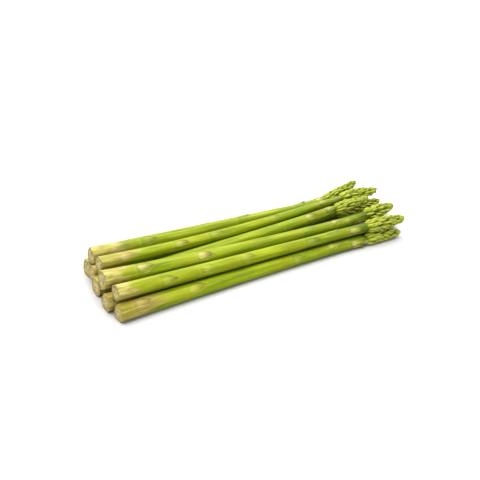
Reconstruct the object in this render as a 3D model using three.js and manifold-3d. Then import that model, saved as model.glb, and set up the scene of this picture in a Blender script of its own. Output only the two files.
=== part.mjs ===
// A loose bundle of fresh asparagus, nine spears lying in a heap, as solids in millimetres with +Z up.
// +X runs from the cut butts to the tips, the heap lies on z = 0, and the origin is under its middle.
// Each spear grew as one piece, so it is one closed solid: its stem, the bracts pressed against it,
// and a head of overlapping scales round a slimmer core, all fused together.

import * as THREE from 'three';
import { mergeVertices } from 'three/addons/utils/BufferGeometryUtils.js';
import Module from 'manifold-3d';

const wasm = await Module();
wasm.setup();

// Every spear is a row of this list. Distances are in millimetres and turns in degrees.
// butt is the centre of the cut face. Along the spear the axis strays sideways and upwards by the
// pairs drift (evenly), bow (as the square of the way) and nod (over the head end alone).
// A bract is [distance from the cut, turn about the stem], where 90 is the top and 180 faces -Y.
const spears = [
  {
    name: 'spear_top_back', length: 240, butt: [-121, 24.3, 18.5],
    drift: [-3.7, -9.5], bow: [4.7, -1.7], nod: [11.1, 7.8],
    buttRadius: 5.9, neckRadius: 4.1, headLength: 46, bluntness: 3.1, swell: 0.1, firstScaleTurn: 80,
    bracts: [[14, 132], [40, 127], [84, 25], [118, 75], [146, 15], [170, 62], [188, 108]],
  },
  {
    name: 'spear_top_middle', length: 247, butt: [-120.5, 6.8, 22],
    drift: [16.1, -28], bow: [-6.3, 24.1], nod: [1.8, -5.2],
    buttRadius: 4.7, neckRadius: 3.3, headLength: 38, bluntness: 6, swell: 0.41, firstScaleTurn: 120,
    bracts: [[9, 138], [60, 133], [91, 118], [114, 25], [138, 121], [162, 20], [185, 85], [196, 150]],
  },
  {
    name: 'spear_top_thick', length: 249, butt: [-123.1, -6.3, 17.2],
    drift: [-11.6, -15.2], bow: [10.1, 4.5], nod: [2.8, 2.7],
    buttRadius: 6.8, neckRadius: 4.4, headLength: 32, bluntness: 4.9, swell: 0.19, firstScaleTurn: 95,
    bracts: [[27, 112], [74, 122], [112, 20], [150, 60], [184, 95], [198, 138], [209, 210]],
  },
  {
    name: 'spear_top_front', length: 233, butt: [-119.7, -23.4, 16.4],
    drift: [-2.2, -8.2], bow: [-4.5, 5.2], nod: [-3.6, 1.4],
    buttRadius: 5.5, neckRadius: 3.5, headLength: 36, bluntness: 6.3, swell: 0.32, firstScaleTurn: 137,
    bracts: [[32, 158], [63, 143], [93, 122], [117, 355], [140, 146], [162, 75], [178, 140], [188, 230]],
  },
  {
    name: 'spear_floor_front', length: 230, butt: [-121.4, -31.1, 5.7],
    drift: [6.8, -3.4], bow: [-8.6, 2.1], nod: [-2.2, -0.2],
    buttRadius: 5.9, neckRadius: 4, headLength: 36, bluntness: 3.8, swell: 0.23, firstScaleTurn: 150,
    bracts: [[10, 125], [54, 134], [98, 315], [133, 152], [166, 112], [183, 165], [193, 20]],
  },
  {
    name: 'spear_floor_mid_front', length: 242, butt: [-125.3, -16.5, 5.9],
    drift: [-5.4, -2.7], bow: [-0.5, 1.2], nod: [0, 0],
    buttRadius: 6.1, neckRadius: 4.3, headLength: 36, bluntness: 3.6, swell: 0.1, firstScaleTurn: 30,
    bracts: [[30, 85], [72, 330], [110, 85], [150, 300], [176, 200], [192, 60]],
  },
  {
    name: 'spear_rising', length: 230, butt: [-125.5, 3.8, 6.6],
    drift: [-3.9, 5.7], bow: [5.7, 1.8], nod: [-3.3, 4.5],
    buttRadius: 6.8, neckRadius: 4.3, headLength: 36, bluntness: 1.3, swell: 0.1, firstScaleTurn: 110,
    bracts: [[36, 106], [80, 210], [122, 255], [150, 200], [173, 112], [188, 100], [180, 290]],
  },
  {
    name: 'spear_low_nested', length: 249, butt: [-123.8, 16.6, 9.1],
    drift: [-1.5, -10.6], bow: [-1.9, 4.8], nod: [-2.4, 3],
    buttRadius: 5.6, neckRadius: 3.9, headLength: 38, bluntness: 4.1, swell: 0.25, firstScaleTurn: 60,
    bracts: [[34, 120], [78, 280], [121, 205], [156, 110], [184, 130], [203, 240]],
  },
  {
    name: 'spear_floor_back', length: 218, butt: [-124, 29, 6.2],
    drift: [2.9, -2.2], bow: [1.4, 0.2], nod: [0.6, 0],
    buttRadius: 6.5, neckRadius: 4.7, headLength: 36, bluntness: 3, swell: 0.06, firstScaleTurn: 10,
    bracts: [[28, 40], [70, 20], [104, 60], [136, 330], [160, 30], [176, 340]],
  },
];

// The stem's section and the rings along it, as shares of the spear's length up to the neck.
// nodStart is the share where the head end starts to turn aside.
const stemSides = 12;
const stemShares = [0.12, 0.26, 0.4, 0.54, 0.66, 0.74];
const nodStart = 0.7;

// The cut: its softened edge takes the first two rings, and its face looks a little up and towards -Y.
const cutBevel = 0.5;
const cutRings = 2;
const cutSlant = { up: 7, near: 7 };

// The head: a core under the scales, and the scales' own outline from the neck to the tip.
const coreShares = [0.12, 0.35, 0.6, 0.8, 0.93];
const coreEnd = 0.995;
const coreFill = 0.8;
const coreNarrowsBy = 0.12;
const thinnestCore = 0.2;
const swellOver = 0.8;
const tipRoundness = 0.5;
const scaleCount = 28;
const goldenTurn = 137.508;
const lowScale = { length: 9, halfTurn: 40, rise: 0 };
const highScale = { length: 5.5, halfTurn: 54, rise: 0.1 };
const scaleSink = 0.35;
const scaleRoot = 0.3;
const lastScale = 0.9;
const scaleCrowding = 0.9;
const scaleJitter = { turn: 9, along: 0.012, length: 0.1 };

// Roots are the share of the radius at which the fan that closes a bract or a scale meets.
// Bracts shorten towards the head and stand a little further off the stem there.
const lowBract = { length: 13, halfTurn: 60, belly: 0.5, tipRise: 0.5 };
const highBract = { length: 11, halfTurn: 64, belly: 0.7, tipRise: 0.9 };
const bractSink = 0.3;
const bractRoot = 0.4;

// What lies below the surface is trimmed to it, which leaves the low spears a narrow flat to rest on.
const surface = { length: 320, width: 160, depth: 20 };

const mergeWithin = 1e-4;

const skin = { color: 0x9dba3c, roughness: 0.5, metalness: 0 };

// A small seeded generator, so that the scales differ but every run gives the same bundle.
function seededDraw(seed) {
  let state = seed;
  return () => {
    state = (state * 1664525 + 1013904223) % 4294967296;
    return state / 4294967296;
  };
}

// The spear's centre line at a share of its length, 0 at the cut and 1 at the tip.
function axisPoint(spear, share) {
  const headward = Math.max(0, (share - nodStart) / (1 - nodStart));
  const [sideways, upwards] = [0, 1].map(
    (way) => spear.drift[way] * share + spear.bow[way] * share ** 2 + spear.nod[way] * headward ** 2,
  );
  return new THREE.Vector3(...spear.butt).add(new THREE.Vector3(spear.length * share, sideways, upwards));
}

// A point beside the axis: so far from it, at a turn about it, square to the spear's own direction.
function pointOn(spear, share, turn, radius) {
  const step = 0.004;
  const ahead = axisPoint(spear, share + step).sub(axisPoint(spear, share - step)).normalize();
  const sideways = new THREE.Vector3(0, 0, 1).cross(ahead).normalize();
  const upwards = ahead.clone().cross(sideways);
  const angle = THREE.MathUtils.degToRad(turn);
  return axisPoint(spear, share)
    .addScaledVector(sideways, radius * Math.cos(angle))
    .addScaledVector(upwards, radius * Math.sin(angle));
}

// The share of its length at which a spear's stem ends and its head starts.
function neckShare(spear) {
  return 1 - spear.headLength / spear.length;
}

// The spear's outer radius: a slow taper up the stem, then the head's swell and its closing tip.
// A higher bluntness keeps the head thick for longer before it closes.
function outerRadius(spear, share) {
  const neck = neckShare(spear);
  if (share <= neck) {
    return THREE.MathUtils.lerp(spear.buttRadius, spear.neckRadius, Math.max(0, share) / neck);
  }
  const headway = Math.min(1, (share - neck) / (1 - neck));
  const swell = 1 + spear.swell * Math.sin(Math.PI * Math.min(1, headway / swellOver));
  return spear.neckRadius * swell * (1 - headway ** spear.bluntness) ** tipRoundness;
}

// Up the stem this is the outer radius. Under the scales the core narrows to its share of the outline.
function coreRadius(spear, share) {
  const neck = neckShare(spear);
  const headway = Math.max(0, (share - neck) / (1 - neck));
  return outerRadius(spear, share) * THREE.MathUtils.lerp(1, coreFill, Math.min(1, headway / coreNarrowsBy));
}

// A solid from any closed geometry, its shared corners merged.
function solidOf(geometry) {
  const bare = geometry.clone();
  bare.deleteAttribute('normal');
  bare.deleteAttribute('uv');
  const merged = mergeVertices(bare, mergeWithin);
  const vertProperties = new Float32Array(merged.attributes.position.array);
  const triVerts = new Uint32Array(merged.index.array);
  return new wasm.Manifold(new wasm.Mesh({ numProp: 3, vertProperties, triVerts }));
}

// A solid from corner points and the triangles between them, given by the corners' numbers.
function solidFrom(points, faces) {
  const geometry = new THREE.BufferGeometry();
  geometry.setAttribute('position', new THREE.Float32BufferAttribute(points.flatMap((p) => p.toArray()), 3));
  geometry.setIndex(faces.flat());
  return solidOf(geometry);
}

function geometryOf(solid) {
  const mesh = solid.getMesh();
  const geometry = new THREE.BufferGeometry();
  geometry.setAttribute('position', new THREE.BufferAttribute(mesh.vertProperties, 3));
  geometry.setIndex(new THREE.BufferAttribute(mesh.triVerts, 1));
  geometry.computeVertexNormals();
  return geometry;
}

// How far a corner of the cut stands back along the spear, because the knife went through on a slant.
function cutLean(turn, radius) {
  const angle = THREE.MathUtils.degToRad(turn);
  const lowToHigh = Math.sin(angle) * Math.tan(THREE.MathUtils.degToRad(cutSlant.up));
  const farToNear = Math.cos(angle) * Math.tan(THREE.MathUtils.degToRad(cutSlant.near));
  return radius * (lowToHigh - farToNear);
}

// The stem and the head's core in one sweep: rings of corners, closed by a fan at the cut and at the tip.
function makeStem(spear) {
  const neck = neckShare(spear);
  const bevelShare = cutBevel / spear.length;
  const headShares = coreShares.map((headway) => neck + (1 - neck) * headway);
  const shares = [bevelShare, ...stemShares, neck, ...headShares];
  const rings = [
    { share: 0, radius: spear.buttRadius - cutBevel },
    ...shares.map((share) => ({ share, radius: coreRadius(spear, share) })),
  ];
  const points = [axisPoint(spear, 0), axisPoint(spear, coreEnd)];
  const faces = [];
  // half a step of turn puts a flat side, not a corner, at the bottom
  rings.forEach(({ share, radius }, ring) => {
    const slanted = ring < cutRings;
    for (let side = 0; side < stemSides; side += 1) {
      const turn = ((side + 0.5) * 360) / stemSides + 90;
      const point = pointOn(spear, share, turn, radius);
      point.x += slanted ? cutLean(turn, radius) : 0;
      points.push(point);
    }
  });
  const corner = (ring, side) => 2 + ring * stemSides + (side % stemSides);
  for (let side = 0; side < stemSides; side += 1) {
    faces.push([0, corner(0, side + 1), corner(0, side)]);
    faces.push([1, corner(rings.length - 1, side), corner(rings.length - 1, side + 1)]);
    for (let ring = 0; ring < rings.length - 1; ring += 1) {
      faces.push([corner(ring, side), corner(ring, side + 1), corner(ring + 1, side + 1)]);
      faces.push([corner(ring, side), corner(ring + 1, side + 1), corner(ring + 1, side)]);
    }
  }
  return solidFrom(points, faces);
}

// A bract: a broad pointed flap round the stem, from a low step at its base to a tip that stands off.
// Its edges are sunk in the stem and it is closed by a fan to a point inside.
function makeBract(spear, distance, turn) {
  const upSpear = distance / (spear.length - spear.headLength);
  const { lerp } = THREE.MathUtils;
  const length = lerp(lowBract.length, highBract.length, upSpear);
  const halfTurn = lerp(lowBract.halfTurn, highBract.halfTurn, upSpear);
  const belly = lerp(lowBract.belly, highBract.belly, upSpear);
  const tipRise = lerp(lowBract.tipRise, highBract.tipRise, upSpear);
  const at = (along, across, rise) => {
    const share = (distance + along * length) / spear.length;
    return pointOn(spear, share, turn + across * halfTurn, outerRadius(spear, share) + rise);
  };
  const points = [
    at(0.04, -1, -bractSink), at(0, -0.35, -bractSink), at(0, 0.35, -bractSink), at(0.04, 1, -bractSink),
    at(0.5, 0.8, -bractSink), at(1, 0, tipRise), at(0.5, -0.8, -bractSink),
    at(0.14, -0.62, belly), at(0.1, 0, belly), at(0.14, 0.62, belly),
    at(0.52, -0.38, belly), at(0.56, 0, belly), at(0.52, 0.38, belly),
    at(0.4, 0, (bractRoot - 1) * outerRadius(spear, distance / spear.length)),
  ];
  const faces = [
    [0, 1, 7], [1, 8, 7], [1, 2, 8], [2, 9, 8], [2, 3, 9], [3, 4, 9], [4, 12, 9], [9, 12, 11], [9, 11, 8],
    [8, 11, 7], [7, 11, 10], [7, 10, 6], [6, 0, 7], [4, 5, 12], [12, 5, 11], [11, 5, 10], [10, 5, 6],
    [1, 0, 13], [2, 1, 13], [3, 2, 13], [4, 3, 13], [5, 4, 13], [6, 5, 13], [0, 6, 13],
  ];
  return solidFrom(points, faces);
}

// A scale of the head: a plump pointed flap whose edges are sunk in the core, closed by a fan inside it.
function makeScale(spear, headway, turn, size) {
  const neck = neckShare(spear);
  const at = (along, across, radiusOf) => {
    const share = Math.min(1, neck + (1 - neck) * headway + (along * size.length) / spear.length);
    return pointOn(spear, share, turn + across * size.halfTurn, radiusOf(share));
  };
  const sunk = (share) => Math.max(thinnestCore, coreRadius(spear, share) - scaleSink);
  const proud = (share) => outerRadius(spear, share);
  const tip = (share) => outerRadius(spear, share) + size.rise;
  const inside = (share) => coreRadius(spear, share) * scaleRoot;
  const points = [
    at(0, 0, sunk), at(0.42, 1, sunk), at(1, 0, tip), at(0.42, -1, sunk),
    at(0.28, 0, proud), at(0.68, 0, proud), at(0.45, 0, inside),
  ];
  const faces = [
    [0, 1, 4], [1, 5, 4], [1, 2, 5], [5, 2, 3], [5, 3, 4], [4, 3, 0],
    [1, 0, 6], [2, 1, 6], [3, 2, 6], [0, 3, 6],
  ];
  return solidFrom(points, faces);
}

// Scales climb the head in a spiral, each a golden turn on from the last, and shrink towards the tip.
function makeScales(spear, draw) {
  const { lerp } = THREE.MathUtils;
  const spread = (amount) => (draw() * 2 - 1) * amount;
  return Array.from({ length: scaleCount }, (_, order) => {
    const headway = lastScale * (order / (scaleCount - 1)) ** scaleCrowding + spread(scaleJitter.along);
    const size = {
      length: lerp(lowScale.length, highScale.length, headway) * (1 + spread(scaleJitter.length)),
      halfTurn: lerp(lowScale.halfTurn, highScale.halfTurn, headway),
      rise: lerp(lowScale.rise, highScale.rise, headway),
    };
    const turn = spear.firstScaleTurn + order * goldenTurn + spread(scaleJitter.turn);
    return makeScale(spear, headway, turn, size);
  });
}

function makeSpear(spear, seed) {
  const draw = seededDraw(seed);
  const bracts = spear.bracts.map(([distance, turn]) => makeBract(spear, distance, turn));
  const pieces = [...bracts, ...makeScales(spear, draw)];
  const grown = pieces.reduce((body, piece) => body.add(piece), makeStem(spear));
  const below = new THREE.BoxGeometry(surface.length, surface.width, surface.depth);
  below.translate(0, 0, -surface.depth / 2);
  const trimmed = grown.subtract(solidOf(below));
  const mesh = new THREE.Mesh(geometryOf(trimmed), new THREE.MeshStandardMaterial(skin));
  mesh.name = spear.name;
  return mesh;
}

const bundle = new THREE.Group();
spears.forEach((spear, order) => bundle.add(makeSpear(spear, order + 1)));

export default bundle;
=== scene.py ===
import math

import bpy
import numpy as np
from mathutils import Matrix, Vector


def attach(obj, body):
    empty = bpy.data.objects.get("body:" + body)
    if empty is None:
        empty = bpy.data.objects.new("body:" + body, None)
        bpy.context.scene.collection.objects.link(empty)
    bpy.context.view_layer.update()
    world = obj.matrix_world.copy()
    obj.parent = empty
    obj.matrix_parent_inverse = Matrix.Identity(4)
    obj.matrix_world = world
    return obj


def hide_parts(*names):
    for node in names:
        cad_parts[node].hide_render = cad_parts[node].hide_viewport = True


# A heap of nine fresh green asparagus spears. Each spear is one grown piece: its stem with the cut butt,
# the bracts pressed against it, and the head of overlapping scales.

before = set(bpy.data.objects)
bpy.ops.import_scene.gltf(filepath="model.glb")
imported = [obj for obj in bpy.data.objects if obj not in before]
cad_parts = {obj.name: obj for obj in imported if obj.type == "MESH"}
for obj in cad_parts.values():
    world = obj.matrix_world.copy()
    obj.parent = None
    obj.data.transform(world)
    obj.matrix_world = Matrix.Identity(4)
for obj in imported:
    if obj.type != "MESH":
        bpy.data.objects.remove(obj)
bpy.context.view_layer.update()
mm = 0.001
print("frame loaded,", len(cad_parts), "spears")

# Where each spear lies, in mm from the origin. Along the spear the axis strays sideways and upwards by
# drift (evenly), bow (as the square of the way) and nod (over the head end alone).
# A bract is (distance from the cut, turn about the stem, how dry, how brown), where 90 is the top
# and 180 faces -Y. The last two run from 0 for fresh and pale to 1. A fifth number lifts the tip by so many
# mm.
# woody is how far the tan butt end reaches in mm, brown how dark it is, fray how loose the head's scales are,
# and dusk how far the green leans to a duller olive.
spears = [
    {
        "name": "topBackSpear", "node": "spear_top_back",
        "length": 240, "butt": (-121, 24.3, 18.5),
        "drift": (-3.7, -9.5), "bow": (4.7, -1.7), "nod": (11.1, 7.8), "buttRadius": 5.9, "neckRadius": 4.1,
        "headLength": 46, "bluntness": 7, "swell": 0.22, "firstScaleTurn": 80,
        "bracts": [
            (14, 132, 0.25, 0.4), (36, 127, 0.4, 0.7), (84, 25, 0.4, 0.5), (115, 75, 0.3, 0.5),
            (146, 15, 0.4, 0.5), (168, 66, 0.5, 0.4, 0.6), (189, 108, 0.7, 0.2),
        ],
        "woody": 23, "brown": 0.35, "fray": 0.1, "dusk": 0.3,
    },
    {
        "name": "topMiddleSpear", "node": "spear_top_middle",
        "length": 247, "butt": (-120.5, 6.8, 22),
        "drift": (16.1, -28), "bow": (-6.3, 24.1), "nod": (1.8, -5.2), "buttRadius": 4.7, "neckRadius": 3.3,
        "headLength": 42, "bluntness": 6, "swell": 0.6, "firstScaleTurn": 120,
        "bracts": [
            (13, 138, 0.7, 0.7), (55, 133, 0.65, 1), (84, 118, 0.6, 0.3), (114, 25, 0.4, 0.5),
            (136, 121, 0.5, 0.8), (162, 20, 0.4, 0.5), (184, 102, 0.6, 0.4), (196, 150, 0.35, 0.4),
        ],
        "woody": 27, "brown": 0.6, "fray": 1, "dusk": 0.1,
    },
    {
        "name": "topThickSpear", "node": "spear_top_thick",
        "length": 249, "butt": (-123.1, -6.3, 17.2),
        "drift": (-11.6, -15.2), "bow": (10.1, 4.5), "nod": (2.8, 2.7), "buttRadius": 6.8, "neckRadius": 4.4,
        "headLength": 35, "bluntness": 4.9, "swell": 0.25, "firstScaleTurn": 95,
        "bracts": [
            (23, 115, 0.85, 0.8), (67, 122, 0.85, 0.9), (112, 20, 0.4, 0.5), (155, 95, 0.35, 0.2),
            (182, 100, 0.7, 0.4), (194, 138, 0.5, 0.8), (206, 183, 1, 0.0, 2.8),
        ],
        "woody": 21, "brown": 0.1, "fray": 0.3, "dusk": 0.15,
    },
    {
        "name": "topFrontSpear", "node": "spear_top_front",
        "length": 231.5, "butt": (-119.7, -23.4, 16.4),
        "drift": (-2.2, -8.2), "bow": (-4.5, 5.2), "nod": (-3.6, 1.4), "buttRadius": 5.5, "neckRadius": 3.5,
        "headLength": 37, "bluntness": 9, "swell": 0.36, "firstScaleTurn": 137,
        "bracts": [
            (30, 158, 0.6, 0.7), (59, 143, 0.5, 0.4), (89, 128, 0.55, 0.7), (117, 355, 0.4, 0.5),
            (143, 146, 0.5, 0.8), (162, 75, 0.4, 0.1), (181.5, 142, 0.9, 0.15, 0.3), (188, 230, 0.5, 0.4),
        ],
        "woody": 13, "brown": 0.15, "fray": 0.5, "dusk": 0.0,
    },
    {
        "name": "floorFrontSpear", "node": "spear_floor_front",
        "length": 230, "butt": (-121.4, -31.1, 5.7),
        "drift": (6.8, -3.4), "bow": (-8.6, 2.1), "nod": (-2.2, -0.2), "buttRadius": 5.9, "neckRadius": 4,
        "headLength": 36, "bluntness": 3.8, "swell": 0.02, "firstScaleTurn": 150,
        "bracts": [
            (10, 125, 0.6, 0.7), (48, 134, 0.6, 0.8), (98, 315, 0.4, 0.5), (131, 152, 0.5, 0.6),
            (162, 112, 0.6, 0.2), (182, 155, 1, 0.0, 0.2), (194, 176, 1, 0.0, 0.9), (184, 205, 0.9, 0.0, 0.7),
        ],
        "woody": 28, "brown": 1, "fray": 0.6, "dusk": 0.0,
    },
    {
        "name": "floorMidFrontSpear", "node": "spear_floor_mid_front",
        "length": 242, "butt": (-125.3, -16.5, 5.9),
        "drift": (-5.4, -2.7), "bow": (-0.5, 1.2), "nod": (0, 0), "buttRadius": 6.1, "neckRadius": 4.3,
        "headLength": 36, "bluntness": 3.6, "swell": 0.1, "firstScaleTurn": 30,
        "bracts": [
            (30, 85, 0.5, 0.5), (72, 330, 0.6, 0.5), (110, 85, 0.4, 0.5), (150, 300, 0.5, 0.5),
            (176, 200, 0.5, 0.4), (192, 60, 0.6, 0.3),
        ],
        "woody": 16, "brown": 0.6, "fray": 0.2, "dusk": 0.3,
    },
    {
        "name": "risingSpear", "node": "spear_rising",
        "length": 230, "butt": (-125.5, 3.8, 6.6),
        "drift": (-3.9, 5.7), "bow": (5.7, 1.8), "nod": (-3.3, 4.5), "buttRadius": 6.8, "neckRadius": 4.3,
        "headLength": 36, "bluntness": 1.3, "swell": 0.1, "firstScaleTurn": 110,
        "bracts": [
            (36, 106, 0.5, 0.5), (80, 210, 0.5, 0.5), (122, 255, 0.5, 0.5), (150, 200, 0.4, 0.5),
            (169, 112, 0.8, 0.9), (188, 100, 0.7, 0.1), (180, 290, 0.5, 0.4),
        ],
        "woody": 20, "brown": 0.4, "fray": 0.3, "dusk": 0.1,
    },
    {
        "name": "lowNestedSpear", "node": "spear_low_nested",
        "length": 249, "butt": (-123.8, 16.6, 9.1),
        "drift": (-1.5, -10.6), "bow": (-1.9, 4.8), "nod": (-2.4, 3), "buttRadius": 5.6, "neckRadius": 3.9,
        "headLength": 48, "bluntness": 9, "swell": 0.3, "firstScaleTurn": 75,
        "bracts": [
            (34, 120, 0.5, 0.5), (78, 280, 0.5, 0.5), (121, 205, 0.4, 0.5), (156, 110, 0.4, 0.5),
            (180, 130, 0.5, 0.4), (194, 240, 0.5, 0.4),
        ],
        "woody": 20, "brown": 0.5, "fray": 0.35, "dusk": 0.2,
    },
    {
        "name": "floorBackSpear", "node": "spear_floor_back",
        "length": 218, "butt": (-124, 29, 6.2),
        "drift": (2.9, -2.2), "bow": (1.4, 0.2), "nod": (0.6, 0), "buttRadius": 6.5, "neckRadius": 4.7,
        "headLength": 36, "bluntness": 3, "swell": 0.06, "firstScaleTurn": 10,
        "bracts": [
            (28, 40, 0.5, 0.5), (70, 20, 0.5, 0.5), (104, 60, 0.4, 0.5), (136, 330, 0.5, 0.5),
            (160, 30, 0.5, 0.4), (176, 340, 0.6, 0.3),
        ],
        "woody": 19, "brown": 0.5, "fray": 0.2, "dusk": 0.2,
    },
]

# what all the spears share of their form
growth = {
    "nodStart": 0.7,  # share of the length where the head end starts to turn aside
    "roundness": 0.985,  # the solids are many-sided, so a round stem is a touch slimmer than their corners
    "swellOver": 0.8,
    "tipRoundness": 0.5,
    "step": 0.004,  # share of the length over which the spear's own direction is taken
    "patternApart": 300,  # mm, so that no two spears show the same stretch of a pattern
}


def smooth(start, end, value):
    way = np.clip((value - start) / (end - start), 0, 1)
    return way * way * (3 - 2 * way)


def blend(first, second, way):
    return first + (second - first) * way


def unit(vectors):
    return vectors / np.linalg.norm(vectors, axis=-1, keepdims=True)


def neckShare(spear):
    return 1 - spear["headLength"] / spear["length"]


# the spear's centre line at shares of its length, 0 at the cut and 1 at the tip
def axisAt(spear, share):
    headward = np.maximum(0, (share - growth["nodStart"]) / (1 - growth["nodStart"]))
    sideways, upwards = (
        spear["drift"][way] * share + spear["bow"][way] * share**2 + spear["nod"][way] * headward**2
        for way in (0, 1)
    )
    start = spear["butt"]
    return np.stack([start[0] + spear["length"] * share, start[1] + sideways, start[2] + upwards], axis=-1)


# points beside the axis: so far from it, at a turn about it, square to the spear's own direction
def pointOn(spear, way, turn, radius):
    share, step = way / spear["length"], growth["step"]
    ahead = unit(axisAt(spear, share + step) - axisAt(spear, share - step))
    sideways = unit(np.cross([0.0, 0.0, 1.0], ahead))
    upwards = np.cross(ahead, sideways)
    angle = np.radians(turn)
    across = (radius * np.cos(angle))[..., None] * sideways
    above = (radius * np.sin(angle))[..., None] * upwards
    return axisAt(spear, share) + across + above


# a slow taper up the stem, then the head's swell and its closing tip
def outerRadius(spear, share):
    neck = neckShare(spear)
    stem = blend(spear["buttRadius"], spear["neckRadius"], np.clip(share, 0, None) / neck)
    headway = np.clip((share - neck) / (1 - neck), 0, 1)
    swell = 1 + spear["swell"] * np.sin(math.pi * np.minimum(1, headway / growth["swellOver"]))
    head = spear["neckRadius"] * swell * (1 - headway ** spear["bluntness"]) ** growth["tipRoundness"]
    return np.where(share <= neck, stem, head) * growth["roundness"]


# A shell is a closed skin of points with what its material reads at each of them:
# grown is the place on the spear as if it were straight, in mm, leaf is (base to tip, edge to edge, draw),
# tone is (share of the length, woody, brown), and mark ends with dusk. Before it, mark has ripeness and the
# pale ring on a stem, dryness and brown on a bract, and how far up the head and fray on a scale.
def makeShell(points, quads, fans, finish, **values):
    shell = {"points": points.reshape(-1, 3), "quads": quads, "fans": fans, "finish": finish}
    for key, value in values.items():
        shell[key] = value.reshape(-1, 3)
    return shell


def straightPlace(spear, way, turn, radius):
    angle = np.radians(turn)
    along = way + growth["patternApart"] * spear["draw"]
    return np.stack([along, radius * np.cos(angle), radius * np.sin(angle)], axis=-1)


# three values side by side for every point of a grid
def triple(first, second, third):
    return np.stack(np.broadcast_arrays(first, second, third), axis=-1).astype(float)


# waves about the spear, each as (how many, how it is turned, how deep)
def wavesAt(waves, angle, phase, start=0):
    total = start
    for count, turned, depth in waves:
        total = total + depth * np.cos(count * angle + turned * phase)
    return total


stemPlan = {
    "sides": 84,
    "ringStep": 1.3,
    "firstRings": (0.7, 1.2),  # mm from the cut: the ring past the bevel, and where the even ones begin
    "jointStep": 0.3,  # closer rings where a node shows
    "jointReach": 1.0,
    "jointRise": 0.04,
    "jointWidth": 0.5,
    "jointFacing": (0.6, 0.4),  # the ring all round, and what its bract's side adds
    "paleLine": (0.8, 0.6),  # mm below the node, mm wide
    "ripening": (26, 1, 1.2),  # mm: begins and is full so far before a node, and is gone so far past it
    "ripeFacing": (0.35, 0.65),
    "woodyWaves": ((1, 1, 0.22), (3, 2, 0.14), (7, 0, 0.08)),
    "woodyFade": (0.6, 1.35),  # shares of its reach
    "bevel": 0.32,  # the cut's softened edge
    "cutRings": 14,
    "cutMiddle": (0.06, 0.85),  # the innermost ring, and how the rings crowd from there to the rim
    "cutGrain": 0.05,
    "cutWaves": ((2, 1, 0.22), (5, -1, 0.14), (11, 0, 0.07)),
    "shoulder": ((30, 0.9), (60, 0.8)),  # degrees round the bevel, share of the waves left there
    "cutHollow": 0.3,  # the pith dries back a little
    "cutSlant": (7, 7),  # degrees: the face looks a little up and towards -Y
    "slantReach": 3,
    "ovality": 0.018,
    "fluting": ((5, 0.010), (8, 0.008), (13, 0.005)),  # lobes around, share of the radius
    "fluteWinding": 0.012,  # radians for each mm up the stem
    "dryFluting": ((3, 0.02), (5, 0.026), (8, 0.018), (13, 0.009)),  # deeper where the butt has dried
    "dryReach": 12,
    "dryTurn": 1.7,  # sets the dry flutes apart from the others
    "coreFill": 0.8,  # the head's core is slimmer than its scales
    "coreNarrowsBy": 0.12,
    "coreEnd": 0.992,
    "headRings": 26,
}


def cutLean(turn, radius):
    up, near = (math.tan(math.radians(slant)) for slant in stemPlan["cutSlant"])
    angle = np.radians(turn)
    return radius * (np.sin(angle) * up - np.cos(angle) * near)


# the stem's radius at each place: ovality, flutes, and the low ring that each bract grows from
def stemRadius(spear, way, turn):
    share = way / spear["length"]
    neck = neckShare(spear)
    headway = np.clip((share - neck) / (1 - neck), 0, 1)
    core = blend(1, stemPlan["coreFill"], np.minimum(1, headway / stemPlan["coreNarrowsBy"]))
    angle = np.radians(turn)
    phase = spear["phase"]
    ripple = stemPlan["ovality"] * np.cos(2 * angle + phase)
    for lobes, depth in stemPlan["fluting"]:
        winding = way * stemPlan["fluteWinding"] * (lobes % 3 - 1)
        ripple = ripple + depth * np.cos(lobes * angle + lobes * phase + winding)
    dryness = np.exp(-way / stemPlan["dryReach"])
    for lobes, depth in stemPlan["dryFluting"]:
        ripple = ripple + dryness * depth * np.cos(lobes * angle + phase * lobes * stemPlan["dryTurn"])
    rise = 0
    allRound, onItsSide = stemPlan["jointFacing"]
    for distance, around, *_ in spear["bracts"]:
        facing = allRound + onItsSide * np.cos(angle - math.radians(around))
        near = np.exp(-(((way - distance) / stemPlan["jointWidth"]) ** 2))
        rise = rise + stemPlan["jointRise"] * facing * near
    return outerRadius(spear, share) * core * (1 + ripple * (1 - headway)) + rise


# where the stem's rings stand: evenly, closer at the nodes, and closing in over the head's core
def ringWays(spear):
    neck = neckShare(spear) * spear["length"]
    pastBevel, first = stemPlan["firstRings"]
    ways = list(np.arange(first, neck, stemPlan["ringStep"]))
    reach = stemPlan["jointReach"]
    for distance, *_ in spear["bracts"]:
        ways += list(np.arange(distance - reach, distance + reach, stemPlan["jointStep"]))
    ways = [way for way in sorted(ways) if 1 < way < neck]
    kept = [stemPlan["bevel"], pastBevel]
    for way in ways:
        if way - kept[-1] > stemPlan["jointStep"] * 0.8:
            kept.append(way)
    headway = np.sin(np.linspace(0, math.pi / 2, stemPlan["headRings"]))
    kept += list(neck + (spear["length"] - neck) * stemPlan["coreEnd"] * headway)
    return np.array(kept)


# how tan the stem is, 1 at the cut: it fades up the stem along a boundary that runs in and out
def woodyAt(spear, way, turn):
    reach = spear["woody"] * wavesAt(stemPlan["woodyWaves"], np.radians(turn), spear["phase"], 1)
    full, gone = stemPlan["woodyFade"]
    return 1 - smooth(full * reach, gone * reach, way)


# the paler line where a node crosses the stem, seen only on the side its bract is on
def jointAt(spear, way, turn):
    line = 0
    below, width = stemPlan["paleLine"]
    for distance, around, *_ in spear["bracts"]:
        facing = np.clip(np.cos(np.radians(turn - around)), 0, 1)
        line = line + facing * np.exp(-(((way - distance + below) / width) ** 2))
    return np.clip(line, 0, 1)


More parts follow.
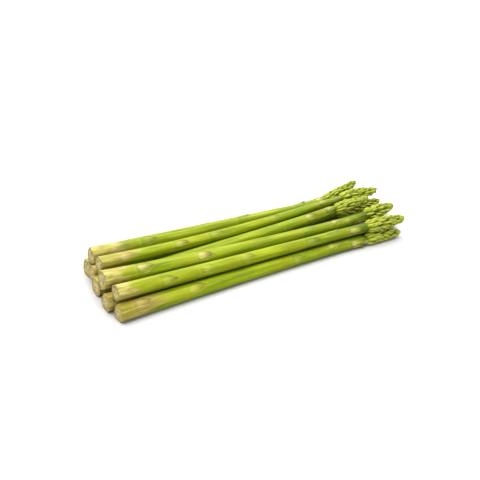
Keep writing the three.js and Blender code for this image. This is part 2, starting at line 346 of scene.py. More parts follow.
# each stretch of stem yellows towards its next bract and is greenest just past it
def ripenessAt(spear, way, turn):
    ripe = 0
    begins, full, gone = stemPlan["ripening"]
    allRound, onItsSide = stemPlan["ripeFacing"]
    for distance, around, *_ in spear["bracts"]:
        facing = np.clip(allRound + onItsSide * np.cos(np.radians(turn - around)), 0, 1)
        stretch = smooth(distance - begins, distance - full, way)
        stretch = stretch * (1 - smooth(distance, distance + gone, way))
        ripe = np.maximum(ripe, facing * stretch)
    return ripe


# One sweep of rings from the middle of the cut face, over its edge, up the stem and round the head's core.
def stemShell(spear, draw):
    sides = stemPlan["sides"]
    turns = np.arange(sides) * 360 / sides
    stemWays = ringWays(spear)
    way, turn = np.meshgrid(stemWays, turns, indexing="ij")
    radius = stemRadius(spear, way, turn)
    # the cut face and its softened edge
    innermost, crowding = stemPlan["cutMiddle"]
    out = np.linspace(innermost, 1, stemPlan["cutRings"]) ** crowding
    edge = stemRadius(spear, np.zeros((1, sides)), turns[None, :]) - stemPlan["bevel"]
    faceRadius = out[:, None] * edge
    grain = draw.normal(0, stemPlan["cutGrain"], faceRadius.shape) * smooth(0, 0.3, out)[:, None]
    ragged = wavesAt(stemPlan["cutWaves"], np.radians(turns), spear["phase"])
    hollow = stemPlan["cutHollow"] * (1 - out**2)
    faceWay = hollow[:, None] + grain + ragged[None, :] * (out**3)[:, None]
    roundBevel, left = np.array(stemPlan["shoulder"]).T[:, :, None]
    roundBevel = np.radians(roundBevel)
    shoulderRadius = edge + stemPlan["bevel"] * np.sin(roundBevel)
    shoulderWay = stemPlan["bevel"] * (1 - np.cos(roundBevel)) + ragged[None, :] * left
    way = np.concatenate([faceWay, shoulderWay, way])
    radius = np.concatenate([faceRadius, shoulderRadius, radius])
    turn = np.broadcast_to(turns, way.shape)
    points = pointOn(spear, way, turn, radius)
    # the knife went through on a slant, which dies out up the stem
    pastBevel = np.maximum(0, way - stemPlan["firstRings"][0])
    points[..., 0] += cutLean(turn, radius) * np.exp(-pastBevel / stemPlan["slantReach"])
    rings = way.shape[0]
    ends = np.stack([axisAt(spear, np.array(0.0)), axisAt(spear, np.array(1.0))])
    ends[0, 0] += stemPlan["cutHollow"]
    quads, ring = [], np.arange(sides)
    after = (ring + 1) % sides
    for row in range(rings - 1):
        low, high = row * sides, (row + 1) * sides
        quads.append(np.stack([low + ring, low + after, high + after, high + ring], axis=1))
    first, last, top = rings * sides, rings * sides + 1, (rings - 1) * sides
    fans = np.concatenate([
        np.stack([np.full(sides, first), after, ring], axis=1),
        np.stack([np.full(sides, last), top + ring, top + after], axis=1),
    ])
    # on the cut face the first leaf value says how far out a point is, for its rim and fibres
    fromMiddle = np.zeros(way.shape)
    fromMiddle[: len(out)] = out[:, None]
    shell = makeShell(
        np.concatenate([points.reshape(-1, 3), ends]), np.concatenate(quads), fans, "skin",
        grown=np.concatenate([
            straightPlace(spear, way, turn, radius).reshape(-1, 3), [[0, 0, 0], [spear["length"], 0, 0]],
        ]),
        leaf=np.concatenate([triple(fromMiddle, turn / 360, spear["draw"]).reshape(-1, 3), np.zeros((2, 3))]),
        tone=np.concatenate([
            triple(way / spear["length"], woodyAt(spear, way, turn), spear["brown"]).reshape(-1, 3),
            [[0, 1, spear["brown"]], [1, 0, 0]],
        ]),
        mark=np.concatenate([
            triple(ripenessAt(spear, way, turn), jointAt(spear, way, turn), spear["dusk"]).reshape(-1, 3),
            [[0, 0, spear["dusk"]]] * 2,
        ]),
    )
    shell["cutQuads"] = len(out) * sides  # the first faces are the cut's
    return shell


# A flap closed all round: an outer face, an inner face and the thin edge between them.
def flapShell(outer, inner, finish, **values):
    rows, columns = outer.shape[:2]
    number = np.arange(rows * columns).reshape(rows, columns)
    corners = [number[:-1, :-1], number[:-1, 1:], number[1:, 1:], number[1:, :-1]]
    front = np.stack(corners, axis=-1).reshape(-1, 4)
    back = np.stack(corners[::-1], axis=-1).reshape(-1, 4) + rows * columns
    rim = np.concatenate([number[0, :-1], number[:-1, -1], number[-1, :0:-1], number[:0:-1, 0]])
    after = np.roll(rim, -1)
    wall = np.stack([after, rim, rim + rows * columns, after + rows * columns], axis=1)
    twice = {
        key: np.concatenate([np.broadcast_to(value, outer.shape).reshape(-1, 3)] * 2)
        for key, value in values.items()
    }
    points = np.concatenate([outer.reshape(-1, 3), inner.reshape(-1, 3)])
    return makeShell(points, np.concatenate([front, back, wall]), np.zeros((0, 3), int), finish, **twice)


bractPlan = {
    "along": 24,
    "across": 20,
    "length": (13, 11.5),  # at the butt and at the head
    "halfTurn": (54, 58),
    "bud": (0.04, 0.2),  # the bud under it lifts its middle
    "tipRise": (0.14, 0.55),
    "unequal": 0.08,  # share of the length
    "curl": 0.2,  # how much narrower for each mm that its tip lifts
    "taper": (1.8, 0.85),  # the powers that draw its sides in to the point
    "bend": 9,  # degrees that the point may stray
    "ripple": (0.07, 11),  # how deep the sides wave, and how fast
    "baseBow": 1.4,  # mm that the base line bows back towards the butt in its middle
    "edge": 0.1,
    "ridges": (0.06, 9),
    "sunk": 0.22,  # the base starts under the skin, so it grows out without a step
    "rooted": 0.3,
    "thickness": 0.26,
    "rootThickness": 2,
}


# a pointed flap that grows out of the stem without a step and comes free only towards its tip
def bractShell(spear, bract, draw):
    distance, turn, dryness, brown, *lifted = bract
    upSpear = distance / (spear["length"] - spear["headLength"])
    length, halfTurn, bud, tipRise = (
        blend(*bractPlan[key], upSpear) for key in ("length", "halfTurn", "bud", "tipRise")
    )
    length *= 1 + draw.uniform(-bractPlan["unequal"], bractPlan["unequal"])
    halfTurn *= 1 - bractPlan["curl"] * sum(lifted)
    along, across = np.meshgrid(
        np.linspace(0, 1, bractPlan["along"]), np.linspace(-1, 1, bractPlan["across"]), indexing="ij"
    )
    width = np.maximum(0.02, (1 - along ** bractPlan["taper"][0]) ** bractPlan["taper"][1])
    bend = draw.uniform(-bractPlan["bend"], bractPlan["bend"]) * along**2
    deep, fast = bractPlan["ripple"]
    ripple = deep * np.sin(along * fast + draw.uniform(0, 6)) * across**2 * (1 - along)
    around = turn + across * halfTurn * width * (1 + ripple) + bend
    way = distance + length * along - bractPlan["baseBow"] * (1 - across**2) * (1 - along) ** 2
    ground = stemRadius(spear, way, around)
    lump = bud * smooth(0, 0.4, along) * (1 - smooth(0.4, 0.9, along)) * (1 - across**2) ** 1.5
    lift = (tipRise + sum(lifted)) * smooth(0.45, 1, along) ** 1.5
    rim = bractPlan["edge"] * smooth(0.05, 0.5, along)
    sunk = bractPlan["sunk"] * (1 - smooth(0, 0.22, along))
    high, close = bractPlan["ridges"]
    ridge = high * np.cos(close * across + spear["phase"]) * smooth(0, 0.2, along) * (1 - along)
    outerOff = rim + lump + lift + ridge - sunk
    innerOff = outerOff - bractPlan["thickness"] - bractPlan["rootThickness"] * (1 - smooth(0.6, 0.9, along))
    innerOff = np.maximum(-bractPlan["rooted"], innerOff)
    outer = pointOn(spear, way, around, ground + outerOff)
    inner = pointOn(spear, way, around, ground + innerOff)
    return flapShell(
        outer, inner, "bract", grown=straightPlace(spear, way, around, ground),
        leaf=triple(along, across, draw.uniform()),
        tone=triple(way / spear["length"], woodyAt(spear, way, around), spear["brown"]),
        mark=triple(dryness * blend(0.75, 1, smooth(0.1, 0.3, along)), brown, spear["dusk"]),
    )


scalePlan = {
    "count": 88,
    "along": 13,
    "across": 10,
    "goldenTurn": 137.508,
    "reach": 0.95,  # how far up the head's profile the last scale starts
    "crowding": 0.92,
    "length": (12.2, 6.2),  # lowest and highest scale
    "halfWidth": (1.6, 0.98),
    "widestAt": 0.35,  # share of the length
    "baseWidth": 0.65,
    "narrowest": 0.03,
    "pointPower": 1.6,
    "wrap": (1.2, 1.3),  # mm of radius it still wraps round, and radians it may wrap
    "plump": (0.8, 0.55),
    "sunk": (1.5, 0.6),
    "rise": 0.85,
    "bedded": 0.62,  # mm that the whole scale sits deeper
    "edgeDrop": 0.45,
    "thickness": 0.42,
    "rootThickness": 1.6,
    "startsLow": 2.5,  # mm that the lowest scale starts below the neck
    "jitterTurn": 16,
    "jitterAlong": 1.3,
    "jitterLength": 0.2,
    "lean": 9,
    "frayLift": 1.8,
    "looseFray": 0.3,  # a head with this much fray counts as wholly loose
    "tightBy": 0.7,  # how much less a wholly closed head's scales stand out
}


# the head's outline as distances along its own curve, so that scales can wrap over the tip
def headProfile(spear):
    neck = neckShare(spear)
    headway = np.sin(np.linspace(0, math.pi / 2, 500))
    way = (neck + (1 - neck) * headway) * spear["length"]
    radius = outerRadius(spear, way / spear["length"])
    steps = np.hypot(np.diff(way), np.diff(radius))
    arc = np.concatenate([[0], np.cumsum(steps)])
    slope = np.gradient(radius, arc)
    return arc, way, radius, slope


def scaleShell(spear, profile, start, turn, climb, draw):
    arcs, ways, radii, slopes = profile
    length, halfWidth, plump = (blend(*scalePlan[key], climb) for key in ("length", "halfWidth", "plump"))
    length *= 1 + draw.uniform(-1, 1) * scalePlan["jitterLength"]
    along, across = np.meshgrid(
        np.linspace(0, 1, scalePlan["along"]), np.linspace(-1, 1, scalePlan["across"]), indexing="ij"
    )
    # lance-shaped: widest a third of the way up, then in to a point
    widest = scalePlan["widestAt"]
    shape = np.where(
        along < widest,
        blend(scalePlan["baseWidth"], 1, smooth(0, widest, along)),
        1 - np.clip((along - widest) / (1 - widest), 0, 1) ** scalePlan["pointPower"],
    )
    shape = np.maximum(scalePlan["narrowest"], shape)
    arc = np.minimum(start + along * length, arcs[-1] - 0.02)
    way = np.interp(arc, arcs, ways)
    radius = np.interp(arc, arcs, radii)
    slope = np.interp(arc, arcs, slopes)
    lean = draw.uniform(-1, 1) * scalePlan["lean"] * along**2
    leastRadius, mostWrap = scalePlan["wrap"]
    wrap = across * halfWidth * shape / np.maximum(radius, leastRadius)
    around = turn + lean + np.degrees(np.clip(wrap, -mostWrap, mostWrap))
    loose = 1 - scalePlan["tightBy"] * (1 - min(1, spear["fray"] / scalePlan["looseFray"]))
    climbOut = blend(-blend(*scalePlan["sunk"], climb), scalePlan["rise"] * loose, smooth(0, 0.7, along))
    body = plump * loose * (1 - across**2) * np.sin(math.pi * np.clip(along * 0.9 + 0.04, 0, 1)) ** 0.8
    edge = scalePlan["edgeDrop"] * np.abs(across) ** 2.2 * (1 - 0.5 * along)
    free = spear["fray"] * scalePlan["frayLift"] * draw.uniform(0.1, 1)
    free = free * smooth(0.6, 1, along) * blend(0.3, 1, climb)
    outerOff = climbOut + body - edge + free - scalePlan["bedded"]
    rooted = scalePlan["rootThickness"] * (1 - smooth(0.55, 0.95, along))
    innerOff = outerOff - scalePlan["thickness"] - rooted
    tilt = np.sqrt(np.clip(1 - slope**2, 0, 1))

    def placed(off):
        return pointOn(spear, way - off * slope, around, np.maximum(0.05, radius + off * tilt))

    return flapShell(
        placed(outerOff), placed(innerOff), "scale", grown=straightPlace(spear, way, around, radius),
        leaf=triple(along, across, draw.uniform()),
        tone=triple(way / spear["length"], 0, spear["brown"]),
        mark=triple(climb, spear["fray"], spear["dusk"]),
    )


# scales climb the head in a spiral, each a golden turn on from the last, smaller towards the tip
def scaleShells(spear, draw):
    profile = headProfile(spear)
    span = profile[0][-1] * scalePlan["reach"]
    shells = []
    for order in range(scalePlan["count"]):
        climb = (order / (scalePlan["count"] - 1)) ** scalePlan["crowding"]
        start = climb * span + draw.uniform(-1, 1) * scalePlan["jitterAlong"]
        start -= scalePlan["startsLow"] * (1 - climb)
        turn = spear["firstScaleTurn"] + order * scalePlan["goldenTurn"]
        turn += draw.uniform(-1, 1) * scalePlan["jitterTurn"]
        shells.append(scaleShell(spear, profile, max(0.0, start), turn, climb, draw))
    return shells


def linearColour(hexText):
    parts = [int(hexText[place : place + 2], 16) / 255 for place in (1, 3, 5)]
    return tuple(p / 12.92 if p <= 0.04045 else ((p + 0.055) / 1.055) ** 2.4 for p in parts) + (1.0,)


# adds a node with its settings, its values and the links into it, and hands back one of its outputs
def addNode(tree, kind, inputs, out=0, stops=None, **settings):
    node = tree.nodes.new(kind)
    for name, value in settings.items():
        setattr(node, name, value)
    if stops:
        ramp = node.color_ramp.elements
        while len(ramp) < len(stops):
            ramp.new(0.5)
        for element, (place, colour) in zip(ramp, stops):
            element.position = place
            element.color = linearColour(colour) if isinstance(colour, str) else (colour,) * 3 + (1.0,)
    for socket, value in inputs.items():
        if isinstance(value, bpy.types.NodeSocket):
            tree.links.new(value, node.inputs[socket])
        else:
            node.inputs[socket].default_value = linearColour(value) if isinstance(value, str) else value
    return node.outputs[out] if out is not None else node


# the mix node keeps its colour sockets at these places
mixShare, mixFirst, mixSecond, mixResult = 0, 6, 7, 2


# An empty material with what the meshes say at each point: the parts of grown, leaf, tone and mark. What the
# first two parts of mark mean depends on the shell.
def newMaterial(name, marks=("ripeness", "ring")):
    material = bpy.data.materials.new(name)
    material.use_nodes = True
    tree = material.node_tree
    tree.nodes.clear()
    told = {}
    for key, names in (
        ("leaf", ("along", "across", "draw")), ("tone", ("share", "woody", "brown")),
        ("mark", (*marks, "dusk")),
    ):
        vector = addNode(tree, "ShaderNodeAttribute", {}, "Vector", attribute_name=key)
        parts = addNode(tree, "ShaderNodeSeparateXYZ", {"Vector": vector}, None)
        told.update(zip(names, parts.outputs))
    told["grown"] = addNode(tree, "ShaderNodeAttribute", {}, "Vector", attribute_name="grown")
    return material, tree, told


# gives a material its surface and hands it back
def finished(material, tree, surface):
    shader = addNode(tree, "ShaderNodeBsdfPrincipled", surface)
    addNode(tree, "ShaderNodeOutputMaterial", {"Surface": shader}, None)
    return material


# noise drawn out along the spear, its reach given in mm as (along, across)
def growthNoise(tree, told, reach):
    scale = (1 / reach[0], 1 / reach[1], 1 / reach[1])
    place = addNode(tree, "ShaderNodeMapping", {"Vector": told["grown"], "Scale": scale})
    return addNode(
        tree, "ShaderNodeTexNoise",
        {"Vector": place, "Scale": 1.0, "Detail": 3.0, "Roughness": 0.55}, "Fac",
    )


# lays a second colour over the first, by the product of one or more shares
def laidOver(tree, colour, second, share, *factors):
    for factor in factors:
        share = addNode(tree, "ShaderNodeMath", {0: share, 1: factor}, operation="MULTIPLY")
    return addNode(
        tree, "ShaderNodeMix", {mixShare: share, mixFirst: colour, mixSecond: second},
        mixResult, data_type="RGBA",
    )


# a stain is (its colour, where its share begins and where it is full, its most)
def stained(tree, colour, value, stain):
    second, (begins, full), most = stain
    share = addNode(
        tree, "ShaderNodeMapRange",
        {"Value": value, "From Min": begins, "From Max": full, "To Min": 0.0, "To Max": most},
    )
    return laidOver(tree, colour, second, share)


skinPlan = {
    # from the butt to the head, the green of the stem; the dark last stop is painted shade on the head's core
    "greens": (
        (0.0, "#949627"), (0.12, "#879417"), (0.35, "#859210"), (0.52, "#85910D"), (0.68, "#6E8307"),
        (0.82, "#5D7005"), (0.88, "#374404"),
    ),
    "ripe": ("#8C8A19", 0.4),
    "darkStreak": ("#536204", (0.5, 0.32), 0.6),
    "paleStreak": ("#A7AE2F", (0.52, 0.7), 0.5),
    "mottled": ("#617A07", (0.5, 0.7), 0.5),
    "olive": "#646B0D",
    "wood": ((0.16, "#64502A"), (0.36, "#947F4C"), (0.54, "#ACA168"), (0.78, "#BEB988")),
    "tanned": ("#8E7648", (0.49, 0.64), 0.7),
    "grain": (1.5, -0.13, -0.26),  # how far the fibres and the spear's brown move along the wood's colours
    "brokenEdge": (1.2, 0.05, 1.05, 0.8),  # how ragged, where wood begins and is full, at most
    "ring": ("#A1A959", 0.16),
    "streak": (38, 2.3),  # mm along and across, coarser than real fibres so that they show
    "fibre": (24, 0.55),
    "mottle": (18, 4.5),
    "cloud": (8, 2.6),
    "bloom": "#EEF0C8",  # the wax that pales the skin where it turns away
    "roughness": (0.34, 0.46),
    "ior": 1.45,
}


# The stem's own colour, which its bracts share where they grow out of it: green that deepens up the spear
# under faint lengthwise streaks, giving way at the butt to cream and tan wood along a broken edge.
def stemColour(tree, told, plan):
    noises = {key: growthNoise(tree, told, plan[key]) for key in ("streak", "fibre", "mottle", "cloud")}
    colour = addNode(tree, "ShaderNodeValToRGB", {"Fac": told["share"]}, stops=plan["greens"])
    colour = laidOver(tree, colour, plan["olive"], told["dusk"])
    for key, noise in (("darkStreak", "streak"), ("paleStreak", "streak"), ("mottled", "mottle")):
        colour = stained(tree, colour, noises[noise], plan[key])
    # browner spears read further down the wood's colours
    fibres, offset, browner = plan["grain"]
    grain = addNode(
        tree, "ShaderNodeMath", {0: noises["fibre"], 1: fibres, 2: offset}, operation="MULTIPLY_ADD",
    )
    grain = addNode(
        tree, "ShaderNodeMath", {0: told["brown"], 1: browner, 2: grain}, operation="MULTIPLY_ADD",
    )
    wood = addNode(tree, "ShaderNodeValToRGB", {"Fac": grain}, stops=plan["wood"])
    wood = stained(tree, wood, noises["cloud"], plan["tanned"])
    ragged, begins, full, most = plan["brokenEdge"]
    reach = addNode(
        tree, "ShaderNodeMath", {0: noises["streak"], 1: ragged, 2: -ragged / 2}, operation="MULTIPLY_ADD",
    )
    reach = addNode(tree, "ShaderNodeMath", {0: told["woody"], 1: reach}, operation="ADD")
    share = addNode(
        tree, "ShaderNodeMapRange",
        {"Value": reach, "From Min": begins, "From Max": full, "To Min": 0.0, "To Max": most},
        interpolation_type="SMOOTHSTEP",
    )
    return laidOver(tree, colour, wood, share), noises


# Fresh asparagus skin: smooth and waxy over long fibres. It gives broad soft highlights and faint streaks.
def waxyStemSkin(plan):
    material, tree, told = newMaterial("waxyStemSkin")
    colour, noises = stemColour(tree, told, plan)
    for value, (second, most) in ((told["ripeness"], plan["ripe"]), (told["ring"], plan["ring"])):
        colour = laidOver(tree, colour, second, value, most)
    roughness = addNode(
        tree, "ShaderNodeMapRange",
        {"Value": noises["mottle"], "To Min": plan["roughness"][0], "To Max": plan["roughness"][1]},
    )
    relief = addNode(
        tree, "ShaderNodeBump", {"Strength": 0.5, "Distance": 0.12 * mm, "Height": noises["fibre"]},
    )
    relief = addNode(
        tree, "ShaderNodeBump",
        {"Strength": 0.4, "Distance": 0.3 * mm, "Height": noises["streak"], "Normal": relief},
    )
    return finished(material, tree, {
        "Base Color": colour, "Roughness": roughness, "IOR": plan["ior"], "Normal": relief,
        "Specular IOR Level": 0.3, "Sheen Weight": 0.16, "Sheen Roughness": 0.4,
        "Sheen Tint": plan["bloom"],
    })


bractFinish = {
    "fresh": ((0.05, "#A39D4A"), (0.3, "#BCB078"), (0.6, "#A1A145"), (1.0, "#868030")),
    "dried": ((0.05, "#A29A55"), (0.3, "#AC9F62"), (0.6, "#998A4A"), (1.0, "#786032")),
    "cream": "#CBBCA2",
    "vein": ("#7C7D32", (0.5, 0.7), 0.55),
    "margin": "#5E421A",
    # a pale dry edge, partly a painted highlight where light catches that rim
    "paleEdgeAndHighlight": "#B0AF61",
    "roughness": 0.5,
    "ior": 1.42,
    "veins": (9, 0.6),
    "torn": (4.5, 1.4),
    "tears": (1.5, 2.2),  # how far they eat into the patch from its base and from its sides
    "browned": (2.5, 0.15),  # how soon a browning bract turns cream and fades, and how much any does
    "papery": 1.8,  # how soon a drying bract turns to paper
    "flecked": 0.8,
    "margins": (0.62, 0.9),  # where the lines along its two sides begin and are full
    # where each share begins and is full
    "spans": {
        "pale": (0.6, 1.0), "low": (0.6, 0.2), "middle": (0.75, 0.1), "point": (0.5, 0.85),
        "flecks": (0.42, 0.55), "tipward": (0.2, 0.6),
    },
    "baseTear": (0.48, 0.34),  # the noise's middle level, and how softly the tear ends
    "sideTear": ((0.95, 0.46), (0.15, 0.5)),  # from the side to the middle, each with its noise level
    "fading": (0.45, 0.75),  # where it begins, and its most at the point
    "ragged": (0.3, 0.62, 0.35),  # begins, is full, least
}


# A bract: papery, palest where it grows out of the stem, fading to the stem's green up its middle, and
# drawn out by a brown line along one side of its point and a pale dry edge, partly painted highlight, along
# the other.
def paperyBract(plan):
    material, tree, told = newMaterial("paperyBract", ("dryness", "browning"))
    stem, noises = stemColour(tree, told, skinPlan)
    veins = growthNoise(tree, told, plan["veins"])
    torn = growthNoise(tree, told, plan["torn"])
    fresh = addNode(tree, "ShaderNodeValToRGB", {"Fac": told["along"]}, stops=plan["fresh"])
    tan = addNode(tree, "ShaderNodeValToRGB", {"Fac": told["along"]}, stops=plan["dried"])
    paper = laidOver(tree, fresh, tan, told["browning"])
    sideways = addNode(tree, "ShaderNodeMath", {0: told["across"]}, operation="ABSOLUTE")
    spans = {}
    for key, value in (
        ("pale", told["dryness"]), ("low", told["along"]), ("middle", sideways), ("point", told["along"]),
        ("flecks", noises["fibre"]), ("tipward", told["along"]),
    ):
        begins, full = plan["spans"][key]
        spans[key] = addNode(
            tree, "ShaderNodeMapRange", {"Value": value, "From Min": begins, "From Max": full},
        )
    soon, always = plan["browned"]
    browned = addNode(
        tree, "ShaderNodeMath", {0: told["browning"], 1: soon, 2: always},
        operation="MULTIPLY_ADD", use_clamp=True,
    )
    paper = laidOver(tree, paper, plan["cream"], spans["pale"], spans["low"], spans["middle"], browned)
    paper = stained(tree, paper, veins, plan["vein"])
    # the paper shows as a torn patch that starts at the base and thins out to the sides and up the point
    fromBase, fromSides = plan["tears"]
    tear = addNode(
        tree, "ShaderNodeMath", {0: torn, 1: fromBase, 2: told["along"]}, operation="MULTIPLY_ADD",
    )
    level, softness = plan["baseTear"]
    upward = addNode(
        tree, "ShaderNodeMapRange",
        {"Value": tear, "From Min": fromBase * level, "From Max": fromBase * level + softness},
    )
    fading = addNode(
        tree, "ShaderNodeMapRange",
        {"Value": told["along"], "From Min": plan["fading"][0], "To Min": 0.0, "To Max": plan["fading"][1]},
    )
    fading = addNode(tree, "ShaderNodeMath", {0: fading, 1: browned}, operation="MULTIPLY")
    fading = addNode(tree, "ShaderNodeMath", {0: 1.0, 1: fading}, operation="SUBTRACT")
    tear = addNode(
        tree, "ShaderNodeMath", {0: torn, 1: fromSides, 2: sideways}, operation="MULTIPLY_ADD",
    )
    outermost, innermost = (place + fromSides * level for place, level in plan["sideTear"])
    inward = addNode(
        tree, "ShaderNodeMapRange", {"Value": tear, "From Min": outermost, "From Max": innermost},
        interpolation_type="SMOOTHSTEP",
    )
    dryness = addNode(
        tree, "ShaderNodeMath", {0: told["dryness"], 1: told["dryness"]}, operation="MULTIPLY",
    )
    dryness = addNode(
        tree, "ShaderNodeMath", {0: dryness, 1: plan["papery"]}, operation="MULTIPLY", use_clamp=True,
    )
    begins, full, least = plan["ragged"]
    ragged = addNode(
        tree, "ShaderNodeMapRange",
        {"Value": noises["streak"], "From Min": begins, "From Max": full, "To Min": least},
    )
    colour = laidOver(tree, stem, paper, upward, inward, fading, dryness, ragged)
    # the point browns in flecks
    colour = laidOver(
        tree, colour, plan["margin"], spans["point"], told["browning"], spans["flecks"], plan["flecked"],
    )
    broken = addNode(tree, "ShaderNodeMapRange", {"Value": spans["flecks"], "To Min": 0.05})
    begins, full = plan["margins"]
    # the brown line is the drying edge, and the bright line is a pale edge partly painted in as a highlight
    for side, line, strength in ((-1, plan["margin"], told["browning"]), (1, plan["paleEdgeAndHighlight"], told["dryness"])):
        edge = addNode(
            tree, "ShaderNodeMapRange",
            {"Value": told["across"], "From Min": side * begins, "From Max": side * full},
        )
        colour = laidOver(tree, colour, line, edge, spans["tipward"], strength, broken)
    relief = addNode(tree, "ShaderNodeBump", {"Strength": 0.5, "Distance": 0.12 * mm, "Height": veins})
    return finished(material, tree, {
        "Base Color": colour, "Roughness": plan["roughness"], "IOR": plan["ior"], "Normal": relief,
        "Subsurface Weight": 0.1, "Subsurface Radius": (1.0, 0.9, 0.4), "Subsurface Scale": 0.6 * mm,
    })


scaleFinish = {
    # each ramp starts dark at the scale's base: painted shade where it tucks under the scales above
    "bright": ((0.18, "#353E04"), (0.42, "#969C27"), (0.7, "#A3A854"), (1.0, "#909244")),
    "green": ((0.18, "#303A04"), (0.42, "#89941F"), (0.7, "#98A243"), (1.0, "#848A39")),
    "edge": ("#B2B362", (0.7, 1.0), 0.55),
    "brown": "#675127",
    "brownOnLoose": 0.3,
    "greenUpward": 0.25,
    "vein": ("#5F6C14", (0.45, 0.75), 0.45),
    "veins": (5, 0.6),
    "roughness": 0.45,
    "ior": 1.42,
}


# A head scale: fresh and plump, yellow-green with painted shade at its tucked-in base, a paler edge and, on
# some, a browned point.
def plumpHeadScale(plan):
    material, tree, told = newMaterial("plumpHeadScale", ("climb", "fray"))
    veins = growthNoise(tree, told, plan["veins"])
    bright = addNode(tree, "ShaderNodeValToRGB", {"Fac": told["along"]}, stops=plan["bright"])
    green = addNode(tree, "ShaderNodeValToRGB", {"Fac": told["along"]}, stops=plan["green"])
    # each scale has its own draw, and the upper ones lean to green
    share = addNode(
        tree, "ShaderNodeMath", {0: told["climb"], 1: plan["greenUpward"], 2: told["draw"]},
        operation="MULTIPLY_ADD",
    )
    share = addNode(tree, "ShaderNodeMapRange", {"Value": share, "From Min": 0.25, "From Max": 1.0})
    colour = laidOver(tree, bright, green, share)
    colour = stained(tree, colour, veins, plan["vein"])
    sideways = addNode(tree, "ShaderNodeMath", {0: told["across"]}, operation="ABSOLUTE")
    colour = stained(tree, colour, sideways, plan["edge"])
    # looser heads have more browned points
    point = addNode(tree, "ShaderNodeMapRange", {"Value": told["along"], "From Min": 0.8, "From Max": 1.0})
    share = addNode(
        tree, "ShaderNodeMath", {0: told["fray"], 1: plan["brownOnLoose"], 2: told["draw"]},
        operation="MULTIPLY_ADD",
    )
    colour = laidOver(tree, colour, plan["brown"], point, share)
    relief = addNode(tree, "ShaderNodeBump", {"Strength": 0.4, "Distance": 0.1 * mm, "Height": veins})
    return finished(material, tree, {
        "Base Color": colour, "Roughness": plan["roughness"], "IOR": plan["ior"], "Normal": relief,
        "Specular IOR Level": 0.4, "Subsurface Weight": 0.05, "Subsurface Radius": (1.0, 1.0, 0.3),
        "Subsurface Scale": 0.5 * mm,
    })


cutFinish = {
    "rings": ((0.0, "#C4B891"), (0.5, "#BCB184"), (0.75, "#ACA470"), (0.9, "#A09558"), (1.0, "#91834A")),
    "cloud": ("#877540", (0.44, 0.62), 0.8),
    "fibre": ("#806C38", (0.34, 0.12), 0.7),
    "roughness": 0.6,
    "ior": 1.4,
    "bundle": 0.9,  # mm between the fibre bundles that end in the cut
}


# The cut end: pale flesh gone a little dry, dotted by the ends of the fibre bundles, darker at the rim.
def cutFlesh(plan):
    material, tree, told = newMaterial("cutFlesh")
    size = 1 / plan["bundle"]
    place = addNode(tree, "ShaderNodeMapping", {"Vector": told["grown"], "Scale": (0.1, size, size)})
    bundles = addNode(tree, "ShaderNodeTexVoronoi", {"Vector": place, "Scale": 1.0}, "Distance", feature="F1")
    cloud = addNode(tree, "ShaderNodeTexNoise", {"Vector": told["grown"], "Scale": 0.6, "Detail": 3.0}, "Fac")
    colour = addNode(tree, "ShaderNodeValToRGB", {"Fac": told["along"]}, stops=plan["rings"])
    colour = stained(tree, colour, bundles, plan["fibre"])
    colour = stained(tree, colour, cloud, plan["cloud"])
    relief = addNode(tree, "ShaderNodeBump", {"Strength": 0.6, "Distance": 0.15 * mm, "Height": bundles})
    return finished(material, tree, {
        "Base Color": colour, "Roughness": plan["roughness"], "IOR": plan["ior"], "Normal": relief,
        "Subsurface Weight": 0.1, "Subsurface Radius": (1.0, 0.9, 0.6), "Subsurface Scale": 0.8 * mm,
    })


finishes = {
    "skin": waxyStemSkin(skinPlan),
    "bract": paperyBract(bractFinish),
    "scale": plumpHeadScale(scaleFinish),
    "cut": cutFlesh(cutFinish),
}
print("finishes ready")


sharpAngle = 62  # degrees: thin rims stay crisp and the rest is smooth


# all the shells of a spear in one mesh, trimmed to the surface it lies on
def joinShells(name, shells):
    places = list(finishes)
    faces, slots, base = [], [], 0
    for shell in shells:
        slot = np.full(len(shell["quads"]) + len(shell["fans"]), places.index(shell["finish"]))
        if "cutQuads" in shell:
            fanStart = len(shell["quads"])
            slot[: shell["cutQuads"]] = places.index("cut")
            slot[fanStart : fanStart + stemPlan["sides"]] = places.index("cut")
        faces += (shell["quads"] + base).tolist() + (shell["fans"] + base).tolist()
        slots.append(slot)
        base += len(shell["points"])
    points = np.concatenate([shell["points"] for shell in shells])
    points[:, 2] = np.maximum(points[:, 2], 0)
    mesh = bpy.data.meshes.new(name)
    mesh.from_pydata((points * mm).tolist(), [], faces)
    for key in ("grown", "leaf", "tone", "mark"):
        values = np.concatenate([shell[key] for shell in shells]).astype(np.float32)
        mesh.attributes.new(key, "FLOAT_VECTOR", "POINT").data.foreach_set("vector", values.ravel())
    mesh.polygons.foreach_set("material_index", np.concatenate(slots).astype(np.int32))
    mesh.polygons.foreach_set("use_smooth", np.ones(len(faces), bool))
    for finish in finishes.values():
        mesh.materials.append(finish)
    mesh.set_sharp_from_angle(angle=math.radians(sharpAngle))
    mesh.update()
    spear = bpy.data.objects.new(name, mesh)
    bpy.context.scene.collection.objects.link(spear)
    return spear


firstSeed = 100
total = 0
for order, spear in enumerate(spears):
    draw = np.random.default_rng(firstSeed + order)
    spear["phase"] = draw.uniform(0, 2 * math.pi)
    spear["draw"] = draw.uniform()
    shells = [stemShell(spear, draw)]
    shells += [bractShell(spear, bract, draw) for bract in spear["bracts"]]
    shells += scaleShells(spear, draw)
    piece = joinShells(spear["name"], shells)
    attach(piece, "root")
    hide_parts(spear["node"])
    triangles = sum(len(shell["quads"]) * 2 + len(shell["fans"]) for shell in shells)
    total += triangles
    print(spear["name"], triangles, "triangles")
print("all spears", total, "triangles")

floorPlan = {"radius": 3.4, "sides": 96, "colour": "#BABABA", "roughness": 0.9}  # radius in metres


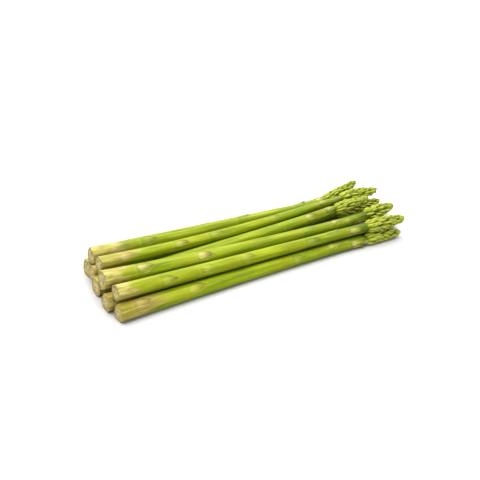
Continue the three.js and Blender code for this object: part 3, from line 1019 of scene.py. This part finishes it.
# A flat matt floor of pale grey paper, round so that its far edge looks the same from every side. The lights
# bring it up to white.
def makeFloor(plan):
    turns = [2 * math.pi * side / plan["sides"] for side in range(plan["sides"])]
    rim = [(plan["radius"] * math.cos(turn), plan["radius"] * math.sin(turn), 0) for turn in turns]
    mesh = bpy.data.meshes.new("floor")
    mesh.from_pydata(rim, [], [tuple(range(plan["sides"]))])
    material, tree, _ = newMaterial("mattWhiteSweep")
    mesh.materials.append(finished(material, tree, {
        "Base Color": plan["colour"], "Roughness": plan["roughness"], "Specular IOR Level": 0.0,
    }))
    floor = bpy.data.objects.new("floor", mesh)
    bpy.context.scene.collection.objects.link(floor)
    return floor


makeFloor(floorPlan)
print("floor laid")

# sizes and places in metres
lightPlan = {
    "sky": {"towards": (-0.15, 0.5, 0.85), "share": (-0.2, 1.0), "strength": (0.56, 1.06)},
    "softboxes": {
        "overhead": {"size": 2.0, "place": (0.05, 0.3, 1.12), "power": 24},
        "frontFill": {"size": 1.2, "place": (0.1, -1.25, 0.42), "power": 4.6},
    },
    "look": "High Contrast",
}


# A studio dome that is bright above and behind and falls off towards the front, one big softbox overhead,
# and a weak one in front that opens up the near flanks.
def makeLights(plan):
    world = bpy.data.worlds.new("paleStudio")
    world.use_nodes = True
    tree = world.node_tree
    tree.nodes.clear()
    dome = plan["sky"]
    direction = addNode(tree, "ShaderNodeTexCoord", {}, "Generated")
    facing = addNode(
        tree, "ShaderNodeVectorMath", {0: direction, 1: Vector(dome["towards"]).normalized()}, "Value",
        operation="DOT_PRODUCT",
    )
    strength = addNode(
        tree, "ShaderNodeMapRange",
        {
            "Value": facing, "From Min": dome["share"][0], "From Max": dome["share"][1],
            "To Min": dome["strength"][0], "To Max": dome["strength"][1],
        },
    )
    sky = addNode(tree, "ShaderNodeBackground", {"Color": "#FFFFFF", "Strength": strength})
    addNode(tree, "ShaderNodeOutputWorld", {"Surface": sky}, None)
    bpy.context.scene.world = world
    for name, box in plan["softboxes"].items():
        lamp = bpy.data.lights.new(name, "AREA")
        lamp.shape = "SQUARE"
        lamp.size = box["size"]
        lamp.energy = box["power"]
        holder = bpy.data.objects.new(name, lamp)
        holder.location = box["place"]
        holder.rotation_euler = (-Vector(holder.location)).to_track_quat("-Z", "Y").to_euler()
        bpy.context.scene.collection.objects.link(holder)
    view = bpy.context.scene.view_settings
    view.view_transform = "Standard"
    view.look = plan["look"]


makeLights(lightPlan)
print("lights set")

cameraPlan = {
    "target": (-18.9, -7.0, 13.8),  # mm
    "azimuth": -28.61,
    "elevation": 31.73,
    "distance": 452.0,
    "lens": 46.34,
    "sensor": 36,
    "slide": (-0.61 / 480, 5.37 / 480),  # the view's small shift, as a share of the image
}


def makeCamera(plan):
    azimuth, elevation = math.radians(plan["azimuth"]), math.radians(plan["elevation"])
    back = Vector((
        math.sin(azimuth) * math.cos(elevation),
        -math.cos(azimuth) * math.cos(elevation),
        math.sin(elevation),
    ))
    lens = bpy.data.cameras.new("camera")
    lens.lens = plan["lens"]
    lens.sensor_width = plan["sensor"]
    lens.shift_x, lens.shift_y = plan["slide"]
    lens.clip_start, lens.clip_end = 0.01, 20
    camera = bpy.data.objects.new("camera", lens)
    camera.location = (Vector(plan["target"]) + back * plan["distance"]) * mm
    camera.rotation_euler = (-back).to_track_quat("-Z", "Y").to_euler()
    bpy.context.scene.collection.objects.link(camera)
    bpy.context.scene.camera = camera


makeCamera(cameraPlan)
